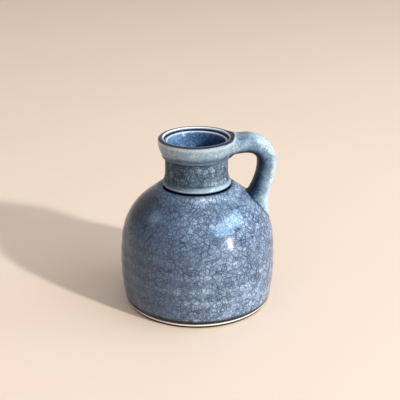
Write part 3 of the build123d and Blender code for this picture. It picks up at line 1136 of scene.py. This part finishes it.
def neck_tone(turn, radius, height):
    """Pale drips from the rim, a painted highlight in front, a lighter skirt and painted shade on the
    left side.
    """
    total = 0.12 * (1 - smooth_step(SKIRT_HEIGHT + 1.5, SKIRT_HEIGHT + 5.0, height))
    # Painted shade on the left side.
    painted_shade_side = -0.30 * facing(turn, 3.3, 2)
    # A painted highlight on the front of the neck.
    highlight_patch = 0.45 * bell(wrapped(turn), -1.25, 0.30) * near(height, 108.0, 6.0)
    total = total + painted_shade_side + highlight_patch
    for place, length, strength in NECK_DRIPS:
        side = bell(wrapped(turn - place) * NECK_RADIUS, 0, 0.9)
        total = total + strength * side * smooth_step(RIM_BOTTOM - length, RIM_BOTTOM - 2, height)
    return total


def rim_thin(turn, radius, height):
    """The glaze breaks pale on both edges of the lip."""
    inner_edge = 1 - smooth_step(0.3, 0.8, np.hypot(radius - 26.6, height - RIM_TOP + 0.5))
    outer_edge = 0.3 * near(np.hypot(radius - 30.6, height - RIM_TOP + 2.2), 0, 2.0)
    return np.clip(0.95 * inner_edge + outer_edge, 0, 1)


def rim_dark_reflection_and_shade(turn, radius, height):
    """Darker inside the lip, a painted dark reflection in a band on its top, and painted shade under the
    rim's lower edge.
    """
    low = 1 - smooth_step(RIM_TOP - 2.0, RIM_TOP - 1.0, height)
    inside = (1 - smooth_step(26.25, 26.6, radius)) * low
    # Painted shade under the rim's lower edge.
    under = 1 - smooth_step(RIM_BOTTOM, RIM_BOTTOM + 0.5, height)
    # The lip's band is painted dark reflection.
    return np.clip(0.95 * inside + 0.95 * lip_band(radius, height) + 0.8 * under, 0, 1)


def rim_tone(turn, radius, height):
    """The rim is palest round its shoulder, with painted shade where it draws in below."""
    return 0.15 - 0.55 * (1 - smooth_step(RIM_BOTTOM + 2.0, RIM_BOTTOM + 8.0, height))


def lining_thin(turn, radius, height):
    """The glaze breaks pale on the inner edge of the ledge."""
    return 0.95 * near(np.hypot(radius - 23.8, height - LEDGE_HEIGHT + 0.4), 0, 0.9)


def lining_pool_and_shade(turn, radius, height):
    """The glaze is thick at the back of the ledge, and painted shade runs down one side of the bore."""
    ledge = smooth_step(24.8, 25.6, radius) * (height > LEDGE_HEIGHT - 1.3)
    # Painted shade down the bore's right side.
    shaded = 0.6 * facing(turn, 0.3, 3) * (height < LEDGE_HEIGHT - 1.5)
    return np.clip(0.9 * ledge + shaded, 0, 1)


def lining_light_and_shade(turn, radius, height):
    # Painted light on the left back of the bore and painted shade on its right front.
    return 0.35 * np.cos(turn - 2.6)


def no_mark(turn, radius, height):
    return 0.0


def foot_outline():
    """The bare foot: a band below the glaze, undercut down to the ring it stands on."""
    inner_edge = FOOT_INNER_RADIUS
    soft = FOOT_EDGE
    worn = 0.3
    bevel = 0.4
    outer = join(
        line((inner_edge, FOOT_TOP), (inner_edge, soft), 1.0),
        arc((inner_edge + soft, soft), soft, 180, 270, 0.2),
        line((inner_edge + soft, 0.0), (STANDING_RADIUS - worn, 0.0), 1.2),
        line((STANDING_RADIUS, worn), (STANDING_RADIUS, UNDERCUT_ROOT - worn), 0.4),
        line((STANDING_RADIUS + worn, UNDERCUT_ROOT), (FOOT_RADIUS - bevel, UNDERCUT_EDGE), 0.5),
        line((FOOT_RADIUS, UNDERCUT_EDGE + bevel), (FOOT_RADIUS, FOOT_TOP), 0.4),
    )
    inner = line((FOOT_RADIUS - 1.0, FOOT_TOP), (inner_edge + 1.0, FOOT_TOP), 3.0)
    return outer, inner


def foot_painted_shade(turn, radius, height):
    """The set-back ring that the vase stands on gets dark painted shade."""
    return (1 - smooth_step(UNDERCUT_EDGE - 0.2, UNDERCUT_EDGE + 0.15, height)) * (radius > PAINTED_SHADE_RADIUS)


def no_relief(turn, height):
    return np.zeros(np.broadcast(turn, height).shape)


def lining_relief(turn, height):
    fade = smooth_step(16, 24, height) * (1 - smooth_step(86, 94, height))
    return 0.6 * waves(BODY_WAVES, turn, height) * fade


def keep(obj, material, slot, *nodes):
    """Sets a piece in the frame in place of the CAD nodes it stands for."""
    paint(obj, material)
    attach(obj, "root")
    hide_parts(*nodes)


body = turned_piece(
    "body_glaze_coat", *body_outline(), body_relief, 256,
    {"pool_and_shade": body_pool_and_shade, "thin_and_highlight": no_mark, "tone": body_tone},
)
keep(body, BODY_GLAZE, "blue_glaze", "glaze_body")
neck = turned_piece(
    "neck_glaze_coat", *neck_outline(), neck_relief, 256,
    {"pool_and_shade": neck_pool_and_shade, "thin_and_highlight": neck_thin_and_highlight, "tone": neck_tone},
)
keep(neck, NECK_GLAZE, "blue_glaze", "glaze_neck")
rim = turned_piece(
    "rim_glaze_coat", *rim_outline(), rim_relief, 256,
    {"pool_and_shade": rim_dark_reflection_and_shade, "thin_and_highlight": rim_thin, "tone": rim_tone},
)
keep(rim, RIM_GLAZE, "pale_glaze", "glaze_rim")
lining = turned_piece(
    "lining_glaze_coat", *lining_outline(), lining_relief, 192,
    {"pool_and_shade": lining_pool_and_shade, "thin_and_highlight": lining_thin, "tone": lining_light_and_shade}, on_axis=True,
)
keep(lining, INSIDE_GLAZE, "inside_glaze", "glaze_liner")
foot = turned_piece(
    "bare_foot_ring", *foot_outline(), no_relief, 240, {"painted_shade": foot_painted_shade},
)
keep(foot, FOOT_CLAY, "bare_foot", "foot_ring")
keep(make_handle(), HANDLE_GLAZE, "pale_glaze", "glaze_handle")

for name in ("body_shell", "neck_collar", "rim_ring", "handle"):
    paint(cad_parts[name], CLAY)
for name in ("neck_joint_slip", "handle_top_weld", "handle_base_weld"):
    paint(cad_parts[name], SLIP)


# ---- floor, light and camera

CAMERA_TURN = -8.0
LOOK_AT = Vector((0, 0, 70 * MM))


def way(azimuth, elevation):
    """A direction: 0 is towards the camera's side, 90 to its right, elevation above level."""
    a = math.radians(azimuth + CAMERA_TURN)
    e = math.radians(elevation)
    return Vector((math.sin(a) * math.cos(e), -math.cos(a) * math.cos(e), math.sin(e)))


def add_floor():
    size = 6.0
    mesh = bpy.data.meshes.new("floor")
    corners = [(-size, -size, 0), (size, -size, 0), (size, size, 0), (-size, size, 0)]
    mesh.from_pydata(corners, [], [(0, 1, 2, 3)])
    floor = bpy.data.objects.new("floor", mesh)
    bpy.context.scene.collection.objects.link(floor)
    paint(floor, floor_material())


def add_panel(name, azimuth, elevation, distance, width, height, radiance, colour, seen="both"):
    """A flat soft light that faces the vase; radiance is how bright it looks."""
    lamp = bpy.data.lights.new(name, "AREA")
    lamp.shape = "RECTANGLE"
    lamp.size = width
    lamp.size_y = height
    lamp.energy = radiance * math.pi * width * height
    lamp.color = colour
    panel = bpy.data.objects.new(name, lamp)
    direction = way(azimuth, elevation)
    panel.location = LOOK_AT + direction * distance
    panel.rotation_mode = "QUATERNION"
    panel.rotation_quaternion = direction.to_track_quat("Z", "Y")
    panel.visible_glossy = seen != "lighting"
    panel.visible_diffuse = seen != "gloss"
    bpy.context.scene.collection.objects.link(panel)


def add_world(strength, colour):
    world = bpy.data.worlds.new("studio")
    world.use_nodes = True
    background = world.node_tree.nodes["Background"]
    background.inputs["Color"].default_value = (*colour, 1)
    background.inputs["Strength"].default_value = strength
    bpy.context.scene.world = world


def add_camera():
    """The camera stands 8 degrees to the left of straight in front and looks down at the vase."""
    data = bpy.data.cameras.new("camera")
    data.sensor_width = 36.0
    data.lens = 76.95
    data.clip_end = 50.0
    camera = bpy.data.objects.new("camera", data)
    pitch, yaw, roll = math.radians(21.594), math.radians(0.221), math.radians(-0.357)
    base = Matrix.Rotation(math.radians(CAMERA_TURN), 3, "Z")
    forward = base @ Vector(
        (math.sin(yaw) * math.cos(pitch), math.cos(yaw) * math.cos(pitch), -math.sin(pitch))
    )
    right = base @ Vector((math.cos(yaw), -math.sin(yaw), 0))
    up = right.cross(forward)
    right_rolled = right * math.cos(roll) + up * math.sin(roll)
    up_rolled = up * math.cos(roll) - right * math.sin(roll)
    turn = Matrix((right_rolled, up_rolled, -forward)).transposed().to_4x4()
    place = base @ Vector((0, -0.650, 0.343))
    camera.matrix_world = Matrix.Translation(place) @ turn
    bpy.context.scene.collection.objects.link(camera)
    bpy.context.scene.camera = camera


add_floor()
WARM = (1.0, 0.95, 0.88)
COOL = (0.80, 0.90, 1.0)
SKY = (0.46, 0.72, 1.0)
add_panel("key", 51, 24.4, 6.0, 0.36, 0.36, 900.0, WARM, "lighting")
add_panel("key_glint", 53, 19.0, 3.0, 0.26, 0.34, 90.0, WARM, "gloss")
add_panel("right_window", 80, 42, 1.6, 1.5, 0.75, 2.3, COOL, "lighting")
add_panel("right_reflection", 70, 44, 1.6, 1.5, 0.6, 13.0, SKY, "gloss")
add_panel("left_window", -98, 38, 1.6, 0.5, 0.5, 3.0, SKY, "gloss")
add_panel("overhead", 30, 78, 1.6, 1.2, 0.8, 0.9, COOL)
add_world(0.50, (1.0, 0.94, 0.88))
add_camera()
scene = bpy.context.scene
scene.view_settings.view_transform = "Standard"
scene.view_settings.look = "None"
